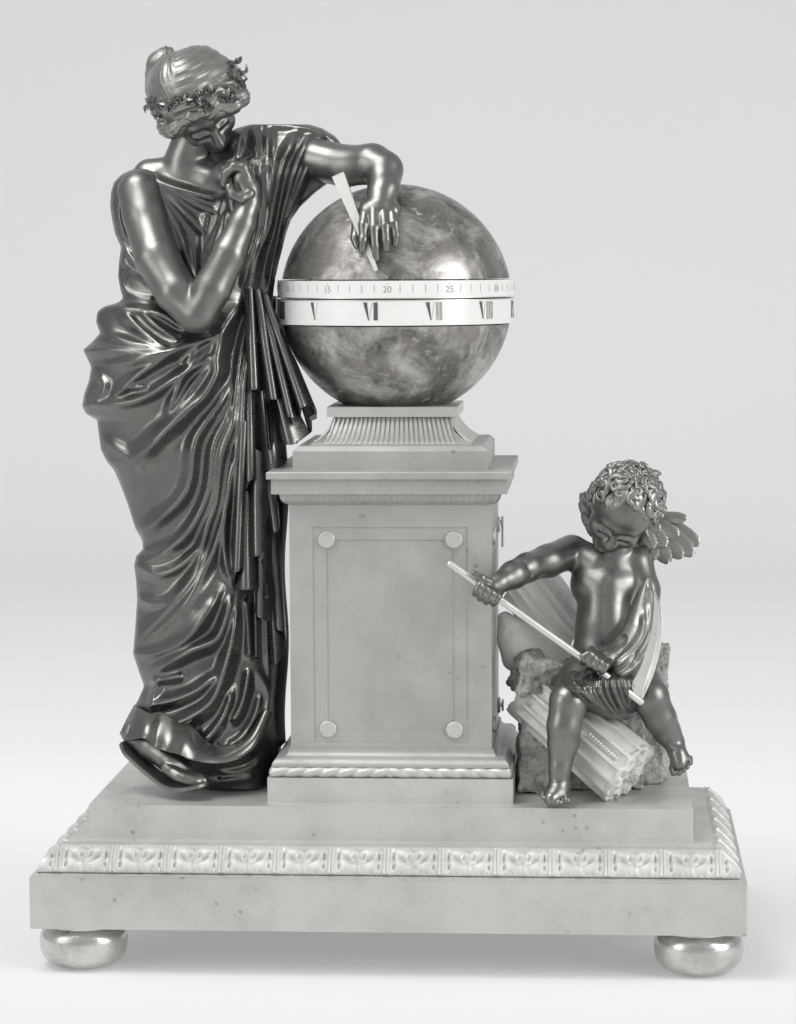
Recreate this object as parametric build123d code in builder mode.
from build123d import *
from math import atan2, cos, degrees, pi, radians, sin, sqrt
import os

# Figural mantel clock with turning hour and minute rings.
# Origin: the floor point under the centre of the plinth. +X to the viewer's right,
# +Y away from the viewer, +Z up. Millimetres.

os.makedirs("parts", exist_ok=True)

# Clearances shared by all pieces
cut_overrun = 1.0
seat_gap = 0.3
running_gap = 0.06
slide_gap = 0.5

# Plinth
plinth_width = 480.0
plinth_depth = 264.0
plinth_height = 34.8
plinth_wall = 5.0
plinth_edge_round = 0.8
bottom_plate_thickness = 3.0
foot_height = 31.4
foot_radius = 30.0
foot_neck_radius = 25.0
foot_inset = 31.0
border_height = 20.4
border_bottom_inset = 2.0
border_top_inset = 22.0
border_fillet = 1.6
border_sag = 2.4
border_opening_margin = 8.0
step_width = 410.0
step_depth = 194.0
step_height = 22.9
step_foot_reach = 1.2
step_foot_height = 1.5

# Pedestal
socle_width = 168.0
socle_height = 17.0
case_wall = 4.0
moulding_shelf = 3.0
rope_height = 7.2
rope_inset = 4.6
rope_bulge = 3.0
ogee_height = 11.3
ogee_foot_inset = 3.0
ogee_bulge = 1.2
die_width = 138.0
die_height = 167.5
panel_outer_width = 106.0
panel_outer_height = 148.0
panel_step = 0.8
panel_inner_width = 87.0
panel_inner_height = 130.6
panel_sink = 0.7
panel_bottom_rise = 4.2
boss_radius = 5.8
boss_height = 2.0
boss_round = 0.9
boss_stud_radius = 1.5
cornice_width = 166.0
corona_width = 160.0
leaf_tip_width = 150.0
leaf_tip_height = 8.0
leaf_tip_bulge = 1.6
corona_height = 10.4
cap_height = 5.0
cap_round = 1.5
attic_width = 133.0
attic_height = 16.2
attic_shoulder = 3.4
stand_foot_width = 110.0
stand_waist_width = 77.0
stand_top_width = 90.0
stand_scotia_height = 18.8
stand_scotia_sag = 3.6
stand_slab_height = 6.8

# Globe and rings
globe_radius = 81.0
globe_centre_height = 450.0
globe_wall = 1.6
shell_flange_width = 14.0
ring_radius = 82.8
ring_thickness = 1.6
ring_gap = 0.9
hour_ring_height = 17.2
minute_ring_height = 12.0
hour_ring_bottom = 434.4
carrier_thickness = 2.0
carrier_rim_width = 5.0
carrier_hub_radius = 9.0
spoke_width = 6.0
post_radius = 2.0
post_collar_radius = 4.0
post_collar_height = 3.0
minute_pipe_radius = 3.6
hour_pipe_radius = 5.4
bridge_height = 14.0
bridge_plate_thickness = 3.0
tray_thickness = 1.6
tray_hole_radius = 12.0
tray_hole_circle = 44.0
index_angle = 4.0
index_width = 5.0
index_height = 3.0
index_relief = 1.2

# Gearing: teeth, modules and tooth proportions
mitre_teeth = 18
mitre_radius = 10.0
mitre_face = 4.0
cannon_teeth = 12
motion_wheel_teeth = 36
motion_pinion_teeth = 10
hour_wheel_teeth = 40
motion_distance = 18.0
barrel_teeth = 96
centre_pinion_teeth = 12
centre_wheel_teeth = 84
third_pinion_teeth = 7
third_wheel_teeth = 77
escape_pinion_teeth = 7
escape_teeth = 40
barrel_module = 0.55
centre_module = 0.50
third_module = 0.45
wheel_addendum_share = 0.75
wheel_dedendum_share = 0.95
wheel_pitch_width_share = 0.40
wheel_tip_width_share = 0.20
pinion_addendum_share = 0.60
pinion_dedendum_share = 1.20
pinion_pitch_width_share = 0.30
pinion_tip_width_share = 0.16
wheel_thickness = 1.3
pinion_length = 4.4
motion_pinion_length = 5.7
arbor_radius = 1.5
thin_arbor_radius = 1.0
pivot_radius = 0.8
wheel_rim_width = 2.4
wheel_hub_radius = 3.2
wheel_spoke_width = 1.8

# Movement
movement_height = 245.0
front_plate_y = 14.0
front_plate_height = 104.0
plate_thickness = 2.5
plate_spacing = 27.5
back_plate_width = 104.0
back_plate_height = 100.0
pillar_radius = 3.0
pillar_x = 46.0
pillar_top_rise = 42.0
pillar_bottom_drop = 43.0
pillar_screw_depth = 9.0
case_rail_width = 6.0
case_rail_depth = 5.0
rail_screw_rise = 40.0
shelf_width = 16.0
shelf_thickness = 4.0
shelf_drop = 19.0
shelf_reach = 20.0
barrel_angle = 225.0
barrel_drum_radius = 22.0
barrel_drum_length = 13.5
barrel_gear_thickness = 2.0
barrel_wall = 1.2
barrel_arbor_radius = 3.0
barrel_gear_setback = 2.5
centre_wheel_setback = 21.5
third_wheel_setback = 14.5
escape_wheel_setback = 7.5
ratchet_radius = 8.0
ratchet_depth = 1.5
ratchet_teeth = 16
ratchet_thickness = 1.6
click_pivot_x = -8.0
click_pivot_z = 12.5
click_width = 3.2
click_nose_radius = 0.8
click_nose_angle = 60.0
winding_square = 4.0
winding_reach = 12.0
third_angle = 45.0
escape_radius = 10.0
escape_tooth_depth = 1.6
pallet_gap = 0.8
pallet_width = 1.6
pallet_depth = 3.0
pallet_angle = 45.0
anchor_arm_width = 2.2
crutch_length = 24.0
crutch_width = 2.4
crutch_thickness = 1.4
crutch_pin_radius = 0.8
pendulum_length = 113.0
pendulum_strip_width = 4.0
pendulum_strip_thickness = 1.2
pendulum_tail = 9.0
pendulum_y = 56.0
pendulum_eye_radius = 3.4
bob_radius = 17.0
bob_thickness = 7.0
bob_edge_thickness = 3.0
cock_width = 24.0
cock_arm_width = 8.0
cock_foot_height = 6.0
cock_wall_y = 50.5
cock_thickness = 2.0
cock_pin_radius = 1.0

# Back door, hinges and catches
door_thickness = 4.0
door_margin = 0.5
hinge_knuckle_radius = 2.6
hinge_pin_radius = 1.2
hinge_length = 16.0
hinge_leaf_width = 14.0
hinge_leaf_thickness = 1.2
hinge_standoff = 3.0
hinge_inset = 2.0
lower_hinge_rise = 30.0
upper_hinge_rise = 138.0
lower_catch_rise = 10.6
upper_catch_rise = 144.0
catch_setback = 7.0
catch_stem_radius = 1.7
catch_stand = 2.4
catch_head_radius = 4.4
catch_head_thickness = 1.5
catch_lever_length = 16.0
catch_lever_width = 4.0
cam_length = 6.0
cam_width = 4.0
cam_thickness = 3.0
cam_setback = 3.0
keeper_width = 5.0
keeper_setback = 2.5
keeper_thickness = 2.5

# Fasteners
nut_flats = 10.0
nut_height = 5.0
stud_radius = 2.5
rod_place_x = 50.0
rod_place_y = 55.0
stand_stud_place = 22.0
screw_head_radius = 3.0
screw_head_height = 1.8
screw_radius = 1.4
bridge_screw_place = 20.0
tray_screw_circle = 72.0

# Standing woman: her height and standing place, from which all her shares are set out
woman_height = 508.0
woman_x = -140.0
woman_y = -12.0
dress_folds = 13
dress_fold_share = 0.075
mantle_folds = 7
mantle_fold_share = 0.16
stylus_top_width = 8.6
stylus_tip_width = 2.6
figure_gap = 0.3

# Putto and masonry
putto_height = 230.0
putto_x = 148.0
putto_y = -30.0
cloth_folds = 9
cloth_fold_share = 0.12
wing_thickness = 4.0
wing_setback = 18.0
blade_thickness = 1.8
column_radius = 25.0
column_flutes = 14
column_flute_radius = 3.4
drum_flutes = 18
drum_flute_share = 0.09
rock_round = 3.0

# Levels that follow from the sizes above
plinth_top = foot_height + plinth_height
border_top = plinth_top + border_height
step_top = border_top + step_height
socle_top = step_top + socle_height
rope_top = socle_top + rope_height
die_bottom = rope_top + ogee_height
die_top = die_bottom + die_height
cap_bottom = die_top + leaf_tip_height + corona_height
cornice_top = cap_bottom + cap_height
attic_top = cornice_top + attic_height
stand_top = attic_top + stand_scotia_height + stand_slab_height
hour_ring_top = hour_ring_bottom + hour_ring_height
minute_ring_bottom = hour_ring_top + ring_gap
minute_ring_top = minute_ring_bottom + minute_ring_height
upper_shell_bottom = minute_ring_top + ring_gap
die_half = die_width / 2
door_inner_y = die_half - door_thickness
side_inner_x = die_half - case_wall
train_front_y = front_plate_y + plate_thickness
train_back_y = train_front_y + plate_spacing
back_plate_y = train_back_y + plate_thickness


def keep(builder, name):
    """Label a finished piece and write it under its node's name."""
    builder.part.label = name
    export_step(builder.part, f"parts/{name}.step")


# Shapes used by several pieces


def side_profile(plane, half_width, steps, reach):
    """A symmetric profile, extruded both ways. A step is an inset, a height and a hollow."""
    places = [(half_width - inset, height) for inset, height, hollow in steps]
    with BuildPart() as slab:
        with BuildSketch(plane):
            with BuildLine():
                Line((0, places[0][1]), places[0])
                for start, end, step in zip(places, places[1:], steps[1:]):
                    if step[2] == 0:
                        Line(start, end)
                    else:
                        SagittaArc(start, end, step[2])
                Line(places[-1], (0, places[-1][1]))
                mirror(about=Plane.YZ)
            make_face()
        extrude(amount=reach, both=True)
    return slab.part


def moulded_block(half_x, half_y, steps):
    """A rectangular block whose four sides carry one moulding profile with mitred corners."""
    along_y = side_profile(Plane.XZ, half_x, steps, 2 * half_y)
    along_x = side_profile(Plane.YZ, half_y, steps, 2 * half_x)
    with BuildPart() as block:
        add(along_y)
        add(along_x, mode=Mode.INTERSECT)
    return block.part


def slab_between(x_size, y_size, bottom, top):
    """An upright box centred on the clock's axis."""
    with BuildPart() as block:
        with BuildSketch(Plane.XY.offset(bottom)):
            Rectangle(x_size, y_size)
        extrude(amount=top - bottom)
    return block.part


def box_between(low, high):
    """A box between its lowest and its highest corner."""
    size = Vector(*high) - Vector(*low)
    middle = Vector(*low) + size / 2
    with BuildPart() as block:
        with Locations(middle):
            Box(size.X, size.Y, size.Z)
    return block.part


def upright_rods(places, radius, bottom, top):
    """Round rods or hole cutters at level places."""
    with BuildPart() as rods:
        with BuildSketch(Plane.XY.offset(bottom)):
            with Locations(*places):
                Circle(radius)
        extrude(amount=top - bottom)
    return rods.part


def train_plane(x, z, y):
    """A plane square to the movement's arbors, seen from the front. Shapes grow towards the front."""
    return Plane(origin=(x, y, z), x_dir=(1, 0, 0), z_dir=(0, -1, 0))


def arbor(x, z, radius, front, back):
    """A round arbor, pillar or hole cutter between two distances from the front."""
    with BuildPart() as bar:
        with BuildSketch(train_plane(x, z, back)):
            Circle(radius)
        extrude(amount=back - front)
    return bar.part


def upright_tube(radius, bore, bottom, top):
    """A pipe on the clock's axis."""
    with BuildPart() as tube:
        with BuildSketch(Plane.XY.offset(bottom)):
            Circle(radius)
            Circle(bore, mode=Mode.SUBTRACT)
        extrude(amount=top - bottom)
    return tube.part


wheel_shares = (wheel_addendum_share, wheel_dedendum_share,
                wheel_pitch_width_share, wheel_tip_width_share)
pinion_shares = (pinion_addendum_share, pinion_dedendum_share,
                 pinion_pitch_width_share, pinion_tip_width_share)


def gear_corners(teeth, module, shares, turn):
    """Corners of a toothed outline with straight-sided teeth. One tooth points along the turn."""
    addendum, dedendum, pitch_width, tip_width = shares
    root_width = min(0.62, pitch_width + (pitch_width - tip_width) * dedendum / addendum)
    corners = []
    for tooth in range(teeth):
        for height, width in ((-dedendum, -root_width), (addendum, -tip_width),
                              (addendum, tip_width), (-dedendum, root_width)):
            radius = (teeth / 2 + height) * module
            angle = radians(turn) + (tooth + width / 2) * 2 * pi / teeth
            corners.append((radius * cos(angle), radius * sin(angle)))
    return corners


def toothed_disc(plane, teeth, module, shares, thickness, turn):
    """A toothed disc that stands on a plane."""
    with BuildPart() as disc:
        with BuildSketch(plane):
            Polygon(*gear_corners(teeth, module, shares, turn), align=None)
        extrude(amount=thickness)
    return disc.part


def crossed_wheel(plane, teeth, module, thickness, turn):
    """A toothed wheel crossed out to a rim, a hub and four spokes."""
    inner_radius = (teeth / 2 - wheel_dedendum_share) * module - wheel_rim_width
    body = toothed_disc(plane, teeth, module, wheel_shares, thickness, turn)
    with BuildPart() as wheel:
        add(body)
        with BuildSketch(plane):
            Circle(inner_radius)
            Circle(wheel_hub_radius, mode=Mode.SUBTRACT)
            Rectangle(2 * inner_radius, wheel_spoke_width, mode=Mode.SUBTRACT)
            Rectangle(wheel_spoke_width, 2 * inner_radius, mode=Mode.SUBTRACT)
        extrude(amount=thickness, mode=Mode.SUBTRACT)
    return wheel.part


def mitre_gear(plane, turn):
    """A mitre gear whose teeth run to the plane's origin. It grows along the plane's normal."""
    with BuildPart() as gear:
        for reach in (mitre_radius - mitre_face, mitre_radius):
            with BuildSketch(plane.offset(reach)):
                Polygon(*gear_corners(mitre_teeth, 2 * reach / mitre_teeth, pinion_shares, turn), align=None)
        loft(ruled=True)
    return gear.part


def saw_corners(teeth, outer, depth):
    """Corners of a saw-toothed outline."""
    corners = []
    for tooth in range(teeth):
        for radius, lag in ((outer, 0.0), (outer - depth, 0.15)):
            angle = (tooth + lag) * 2 * pi / teeth
            corners.append((radius * cos(angle), radius * sin(angle)))
    return corners


def limb(places):
    """A tapered round limb through places given as x, y, z and radius, with rounded joints."""
    with BuildPart() as form:
        for start, end in zip(places, places[1:]):
            run = Vector(*end[:3]) - Vector(*start[:3])
            base = Plane(origin=start[:3], z_dir=run)
            with BuildSketch(base):
                Circle(start[3])
            with BuildSketch(base.offset(run.length)):
                Circle(end[3])
            loft(ruled=True)
        for place in places:
            with Locations(place[:3]):
                Sphere(place[3])
    return form.part


def lofted_body(sections):
    """A smooth upright form through level ellipses given as x, y, z, half width and half depth."""
    with BuildPart() as form:
        for x, y, z, half_width, half_depth in sections:
            with BuildSketch(Plane(origin=(x, y, z))):
                Ellipse(half_width, half_depth)
        loft()
    return form.part


def folded_body(sections, folds, depth_share):
    """A smooth upright form whose outline is a ring of outward arcs, the main folds of cloth."""
    with BuildPart() as form:
        for x, y, z, half_width, half_depth in sections:
            with BuildSketch(Plane(origin=(x, y, z))):
                with BuildLine():
                    for fold in range(folds):
                        corners = []
                        for step in (0, 0.5, 1):
                            turn = 2 * pi * (fold + step) / folds
                            reach = 1 if step == 0.5 else 1 - depth_share
                            corners.append((half_width * reach * cos(turn), half_depth * reach * sin(turn)))
                        ThreePointArc(*corners)
                make_face()
        loft()
    return form.part


def placed(rows, origin, height):
    """Rows of shares of a figure's height turned into places, with any further shares as sizes."""
    result = []
    for row in rows:
        place = [start + share * height for start, share in zip(origin, row)]
        result.append(tuple(place + [share * height for share in row[3:]]))
    return result


# Places shared by several pieces
woman_origin = (woman_x, woman_y, step_top)
putto_origin = (putto_x, putto_y, step_top)
foot_span_x = plinth_width - 2 * foot_inset
foot_span_y = plinth_depth - 2 * foot_inset
foot_places = GridLocations(foot_span_x, foot_span_y, 2, 2).locations
rod_places = GridLocations(2 * rod_place_x, 2 * rod_place_y, 2, 2).locations
stand_stud_places = GridLocations(2 * stand_stud_place, 2 * stand_stud_place, 2, 2).locations
bridge_screw_places = GridLocations(2 * bridge_screw_place, 2 * bridge_screw_place, 2, 2).locations
tray_screw_places = PolarLocations(tray_screw_circle, 4, 45).locations
woman_stud_shares = ((0, 0), (0.05, 0.03))
stone_stud_shares = ((0.02, -0.15), (0.10, 0.26))
woman_stud_places = [Location((woman_x + x * woman_height, woman_y + y * woman_height, 0))
                     for x, y in woman_stud_shares]
stone_stud_places = [Location((putto_x + x * putto_height, putto_y + y * putto_height, 0))
                     for x, y in stone_stud_shares]
axis_place = [Location((0, 0, 0))]
stud_hole_radius = stud_radius + running_gap
screw_hole_radius = screw_radius + running_gap
nut_reach = nut_height + slide_gap

# Base plinth: a cast tray, open below
base_hollow = slab_between(plinth_width - 2 * plinth_wall, plinth_depth - 2 * plinth_wall,
                           foot_height - cut_overrun, plinth_top - plinth_wall)
base_holes = upright_rods(rod_places, stud_hole_radius, foot_height, plinth_top + cut_overrun)
with BuildPart() as base_plinth:
    add(slab_between(plinth_width, plinth_depth, foot_height, plinth_top))
    fillet(base_plinth.edges().filter_by(Axis.Z), plinth_edge_round)
    add(base_hollow, mode=Mode.SUBTRACT)
    add(base_holes, mode=Mode.SUBTRACT)
keep(base_plinth, "base_plinth")

bottom_plate_top = foot_height + bottom_plate_thickness
foot_holes = upright_rods(foot_places, stud_hole_radius, foot_height - cut_overrun,
                          bottom_plate_top + cut_overrun)
with BuildPart() as base_bottom_plate:
    add(slab_between(plinth_width - 2 * plinth_wall - seat_gap, plinth_depth - 2 * plinth_wall - seat_gap,
                     foot_height, bottom_plate_top))
    add(foot_holes, mode=Mode.SUBTRACT)
keep(base_bottom_plate, "base_bottom_plate")

# Bun feet: flattened balls under a short neck, each with a stud
foot_floor_radius = 0.48 * foot_radius
foot_belly_height = 0.50 * foot_height
foot_shoulder_height = 0.91 * foot_height
foot_stud_top = bottom_plate_top + nut_reach
with BuildPart() as single_foot:
    with BuildSketch(Plane.XZ):
        with BuildLine():
            Line((0, 0), (foot_floor_radius, 0))
            Spline((foot_floor_radius, 0), (foot_radius, foot_belly_height),
                   (foot_neck_radius, foot_shoulder_height), tangents=[(1, 0.15), (-0.8, 0.6)])
            Polyline((foot_neck_radius, foot_shoulder_height), (foot_neck_radius, foot_height),
                     (stud_radius, foot_height), (stud_radius, foot_stud_top),
                     (0, foot_stud_top), (0, 0))
        make_face()
    revolve(axis=Axis.Z)
with BuildPart() as bun_feet:
    with Locations(*foot_places):
        add(single_foot.part)
keep(bun_feet, "bun_feet")

# Sloped leaf border on the plinth
border_steps = [
    (border_bottom_inset, plinth_top, 0),
    (border_bottom_inset, plinth_top + border_fillet, 0),
    (border_bottom_inset + border_fillet, plinth_top + border_fillet, 0),
    (border_top_inset - border_fillet, border_top - border_fillet, border_sag),
    (border_top_inset, border_top - border_fillet, 0),
    (border_top_inset, border_top, 0),
]
border_opening = slab_between(step_width - 2 * border_opening_margin, step_depth - 2 * border_opening_margin,
                              plinth_top - cut_overrun, border_top + cut_overrun)
with BuildPart() as leaf_border:
    add(moulded_block(plinth_width / 2, plinth_depth / 2, border_steps))
    add(border_opening, mode=Mode.SUBTRACT)
keep(leaf_border, "leaf_border")

# Upper plinth: the step that carries the pedestal and both figures
step_holes = upright_rods(rod_places + woman_stud_places + stone_stud_places, stud_hole_radius,
                          border_top, step_top + cut_overrun)
with BuildPart() as upper_plinth:
    add(slab_between(step_width, step_depth, border_top, step_top))
    fillet(upper_plinth.edges().filter_by(Axis.Z), plinth_edge_round)
    add(slab_between(step_width + 2 * step_foot_reach, step_depth + 2 * step_foot_reach,
                     border_top, border_top + step_foot_height))
    add(slab_between(step_width - 2 * plinth_wall, step_depth - 2 * plinth_wall,
                     border_top - cut_overrun, step_top - plinth_wall), mode=Mode.SUBTRACT)
    add(step_holes, mode=Mode.SUBTRACT)
keep(upper_plinth, "upper_plinth")

# Pedestal socle, rope moulding and ogee: three cast frames in a stack
moulding_opening = 2 * (side_inner_x - moulding_shelf)
socle_holes = upright_rods(rod_places, stud_hole_radius, step_top, socle_top + cut_overrun)
with BuildPart() as pedestal_socle:
    add(slab_between(socle_width, socle_width, step_top, socle_top))
    fillet(pedestal_socle.edges().filter_by(Axis.Z), plinth_edge_round)
    add(slab_between(socle_width - 4 * case_wall, socle_width - 4 * case_wall,
                     step_top - cut_overrun, socle_top - case_wall), mode=Mode.SUBTRACT)
    add(socle_holes, mode=Mode.SUBTRACT)
keep(pedestal_socle, "pedestal_socle")

rope_steps = [
    (rope_inset, socle_top, 0),
    (rope_inset, rope_top, -rope_bulge),
]
with BuildPart() as rope_moulding:
    add(moulded_block(socle_width / 2, socle_width / 2, rope_steps))
    add(slab_between(moulding_opening, moulding_opening,
                     socle_top - cut_overrun, rope_top + cut_overrun), mode=Mode.SUBTRACT)
keep(rope_moulding, "rope_moulding")

die_inset = (socle_width - die_width) / 2
ogee_steps = [
    (ogee_foot_inset, rope_top, 0),
    (ogee_foot_inset, rope_top + 0.16 * ogee_height, 0),
    (0.60 * die_inset, rope_top + 0.50 * ogee_height, -ogee_bulge),
    (0.90 * die_inset, rope_top + 0.88 * ogee_height, ogee_bulge),
    (0.90 * die_inset, die_bottom, 0),
]
with BuildPart() as pedestal_ogee:
    add(moulded_block(socle_width / 2, socle_width / 2, ogee_steps))
    add(slab_between(moulding_opening, moulding_opening,
                     rope_top - cut_overrun, die_bottom + cut_overrun), mode=Mode.SUBTRACT)
keep(pedestal_ogee, "pedestal_ogee")

# Pedestal front with its sunk panel
panel_centre = die_bottom + panel_bottom_rise + panel_outer_height / 2
panel_plane = Plane(origin=(0, -die_half, panel_centre), x_dir=(1, 0, 0), z_dir=(0, -1, 0))
left_plane = Plane(origin=(-die_half, 0, panel_centre), x_dir=(0, -1, 0), z_dir=(-1, 0, 0))
right_plane = Plane(origin=(die_half, 0, panel_centre), x_dir=(0, 1, 0), z_dir=(1, 0, 0))
boss_row = GridLocations(panel_inner_width, panel_inner_height, 2, 2).locations


def boss_holes(face):
    """Cutters for the four boss studs through one wall."""
    with BuildPart() as cutters:
        with BuildSketch(face.offset(cut_overrun)):
            with Locations(*boss_row):
                Circle(boss_stud_radius + running_gap)
        extrude(amount=-case_wall - 2 * cut_overrun)
    return cutters.part


front_boss_holes = boss_holes(panel_plane)
with BuildPart() as pedestal_front:
    add(box_between((-die_half, -die_half, die_bottom), (die_half, case_wall - die_half, die_top)))
    with BuildSketch(panel_plane):
        Rectangle(panel_outer_width, panel_outer_height)
    extrude(amount=-panel_step, mode=Mode.SUBTRACT)
    with BuildSketch(panel_plane.offset(-panel_step)):
        Rectangle(panel_inner_width, panel_inner_height)
    extrude(amount=-panel_sink, mode=Mode.SUBTRACT)
    add(front_boss_holes, mode=Mode.SUBTRACT)
keep(pedestal_front, "pedestal_front")

# Pedestal sides: walls with a rail each behind the movement's front plate
side_end_y = door_inner_y - slide_gap
catch_y = door_inner_y - catch_setback
lower_catch_z = die_bottom + lower_catch_rise
upper_catch_z = die_bottom + upper_catch_rise
rail_back_y = train_front_y + case_rail_depth
rail_bottom = movement_height - front_plate_height / 2
rail_top = movement_height + front_plate_height / 2
rail_screw_x = side_inner_x - screw_head_radius - slide_gap
rail_screw_levels = (movement_height - rail_screw_rise, movement_height + rail_screw_rise)
left_boss_holes = boss_holes(left_plane)
right_boss_holes = boss_holes(right_plane)
with BuildPart() as pedestal_right_side:
    add(box_between((side_inner_x, case_wall - die_half, die_bottom), (die_half, side_end_y, die_top)))
    add(box_between((side_inner_x - case_rail_width, train_front_y, rail_bottom),
                    (side_inner_x, rail_back_y, rail_top)))
    add(right_boss_holes, mode=Mode.SUBTRACT)
    with BuildSketch(Plane(origin=(die_half + cut_overrun, 0, 0), x_dir=(0, 1, 0), z_dir=(1, 0, 0))):
        with Locations((catch_y, lower_catch_z), (catch_y, upper_catch_z)):
            Circle(catch_stem_radius + running_gap)
    extrude(amount=-case_wall - 2 * cut_overrun, mode=Mode.SUBTRACT)
    for level in rail_screw_levels:
        add(arbor(rail_screw_x, level, screw_hole_radius, train_front_y - cut_overrun,
                  rail_back_y + cut_overrun), mode=Mode.SUBTRACT)
keep(pedestal_right_side, "pedestal_right_side")

with BuildPart() as pedestal_left_side:
    add(box_between((-die_half, case_wall - die_half, die_bottom), (-side_inner_x, side_end_y, die_top)))
    add(box_between((-side_inner_x, train_front_y, rail_bottom),
                    (case_rail_width - side_inner_x, rail_back_y, rail_top)))
    add(left_boss_holes, mode=Mode.SUBTRACT)
    for level in rail_screw_levels:
        add(arbor(-rail_screw_x, level, screw_hole_radius, train_front_y - cut_overrun,
                  rail_back_y + cut_overrun), mode=Mode.SUBTRACT)
keep(pedestal_left_side, "pedestal_left_side")

# Bosses: one domed disc with a stud, repeated on the front and on both sides
with BuildPart() as single_boss:
    with BuildSketch():
        Circle(boss_radius)
    extrude(amount=boss_height)
    fillet(single_boss.edges().group_by(Axis.Z)[-1], boss_round)
    with BuildSketch():
        Circle(boss_stud_radius)
    extrude(amount=panel_step - case_wall)
with BuildPart() as panel_bosses:
    for seat in (panel_plane.offset(-panel_step), left_plane, right_plane):
        with Locations(*[seat.location * place for place in boss_row]):
            add(single_boss.part)
keep(panel_bosses, "panel_bosses")

# Back door, its hinges and the two catches on the right side
hinge_x = hinge_inset - die_half
hinge_y = die_half + hinge_standoff
hinge_levels = (die_bottom + lower_hinge_rise, die_bottom + upper_hinge_rise)
half_hinge = hinge_length / 2
half_margin = door_margin / 2
keeper_front_y = catch_y - cam_width / 2 - slide_gap - keeper_thickness
keeper_right_x = side_inner_x - keeper_setback
keeper_left_x = keeper_right_x - keeper_width
with BuildPart() as back_door:
    add(box_between((door_margin - die_half, door_inner_y, die_bottom + door_margin),
                    (die_half - door_margin, die_half, die_top - door_margin)))
    for level in (lower_catch_z, upper_catch_z):
        bar_bottom = level + cam_length + slide_gap
        add(box_between((keeper_left_x, keeper_front_y, bar_bottom),
                        (keeper_right_x, door_inner_y, bar_bottom + keeper_thickness)))
        add(box_between((keeper_left_x, keeper_front_y, bar_bottom - keeper_thickness),
                        (keeper_right_x, keeper_front_y + keeper_thickness, bar_bottom)))
    for level in hinge_levels:
        add(box_between((hinge_x, die_half, level + half_margin),
                        (hinge_x + hinge_leaf_width, die_half + hinge_leaf_thickness, level + half_hinge)))
        with BuildSketch(Plane(origin=(hinge_x, hinge_y, level + half_margin))):
            Circle(hinge_knuckle_radius)
        extrude(amount=half_hinge - half_margin)
        with BuildSketch(Plane(origin=(hinge_x, hinge_y, level + half_margin))):
            Circle(hinge_pin_radius + running_gap)
        extrude(amount=half_hinge - half_margin, mode=Mode.SUBTRACT)
keep(back_door, "back_door")

with BuildPart() as door_hinges:
    for level in hinge_levels:
        add(box_between((-die_half - hinge_leaf_thickness, hinge_y - hinge_standoff - hinge_leaf_width,
                         level - half_hinge), (-die_half, hinge_y, level - half_margin)))
        with BuildSketch(Plane(origin=(hinge_x, hinge_y, level - half_hinge))):
            Circle(hinge_knuckle_radius)
        extrude(amount=half_hinge - half_margin)
        with BuildSketch(Plane(origin=(hinge_x, hinge_y, level - half_hinge))):
            Circle(hinge_pin_radius)
        extrude(amount=hinge_length + hinge_pin_radius)
keep(door_hinges, "door_hinges")

cam_right_x = side_inner_x - cam_setback
cam_left_x = cam_right_x - cam_thickness
catch_outer_x = die_half + catch_stand


def catch_stem(level):
    """The part that both catches share: a stem through the wall and a cam that rests level."""
    with BuildPart() as stem:
        with BuildSketch(Plane(origin=(cam_left_x, catch_y, level), x_dir=(0, 1, 0), z_dir=(1, 0, 0))):
            Circle(catch_stem_radius)
        extrude(amount=catch_outer_x - cam_left_x)
        add(box_between((cam_left_x, catch_y - cam_width / 2, level - cam_width / 2),
                        (cam_right_x, catch_y + cam_length, level + cam_width / 2)))
    return stem.part


with BuildPart() as lower_catch:
    add(catch_stem(lower_catch_z))
    with BuildSketch(Plane(origin=(catch_outer_x, catch_y, lower_catch_z), x_dir=(0, 1, 0), z_dir=(1, 0, 0))):
        Circle(catch_head_radius)
    extrude(amount=catch_head_thickness)
keep(lower_catch, "lower_catch")

with BuildPart() as upper_catch:
    add(catch_stem(upper_catch_z))
    with BuildSketch(Plane(origin=(catch_outer_x, catch_y, upper_catch_z), x_dir=(0, 1, 0), z_dir=(1, 0, 0))):
        Circle(catch_head_radius)
        with Locations((0, -catch_lever_length / 2)):
            SlotCenterToCenter(catch_lever_length, catch_lever_width, rotation=90)
    extrude(amount=catch_head_thickness)
keep(upper_catch, "upper_catch")

# Cornice: leaf tips, corona and cap in one casting
cornice_half = cornice_width / 2
leaf_top_inset = (cornice_width - leaf_tip_width) / 2
corona_inset = (cornice_width - corona_width) / 2
cornice_steps = [
    (cornice_half - die_half, die_top, 0),
    (leaf_top_inset, die_top + leaf_tip_height, -leaf_tip_bulge),
    (corona_inset, die_top + leaf_tip_height, 0),
    (corona_inset, cap_bottom, 0),
    (0, cap_bottom, 0),
    (0, cornice_top - cap_round, 0),
    (cap_round, cornice_top, -0.4 * cap_round),
]
pipe_hole_radius = minute_pipe_radius + 2 * slide_gap
cornice_holes = upright_rods(rod_places + stand_stud_places, stud_hole_radius,
                             cap_bottom - cut_overrun, cornice_top + cut_overrun)
cornice_pipe_hole = upright_rods(axis_place, pipe_hole_radius, cap_bottom - cut_overrun,
                                 cornice_top + cut_overrun)
with BuildPart() as cornice:
    add(moulded_block(cornice_half, cornice_half, cornice_steps))
    add(slab_between(moulding_opening, moulding_opening, die_top - cut_overrun, cap_bottom),
        mode=Mode.SUBTRACT)
    add(cornice_holes, mode=Mode.SUBTRACT)
    add(cornice_pipe_hole, mode=Mode.SUBTRACT)
keep(cornice, "cornice")

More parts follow.
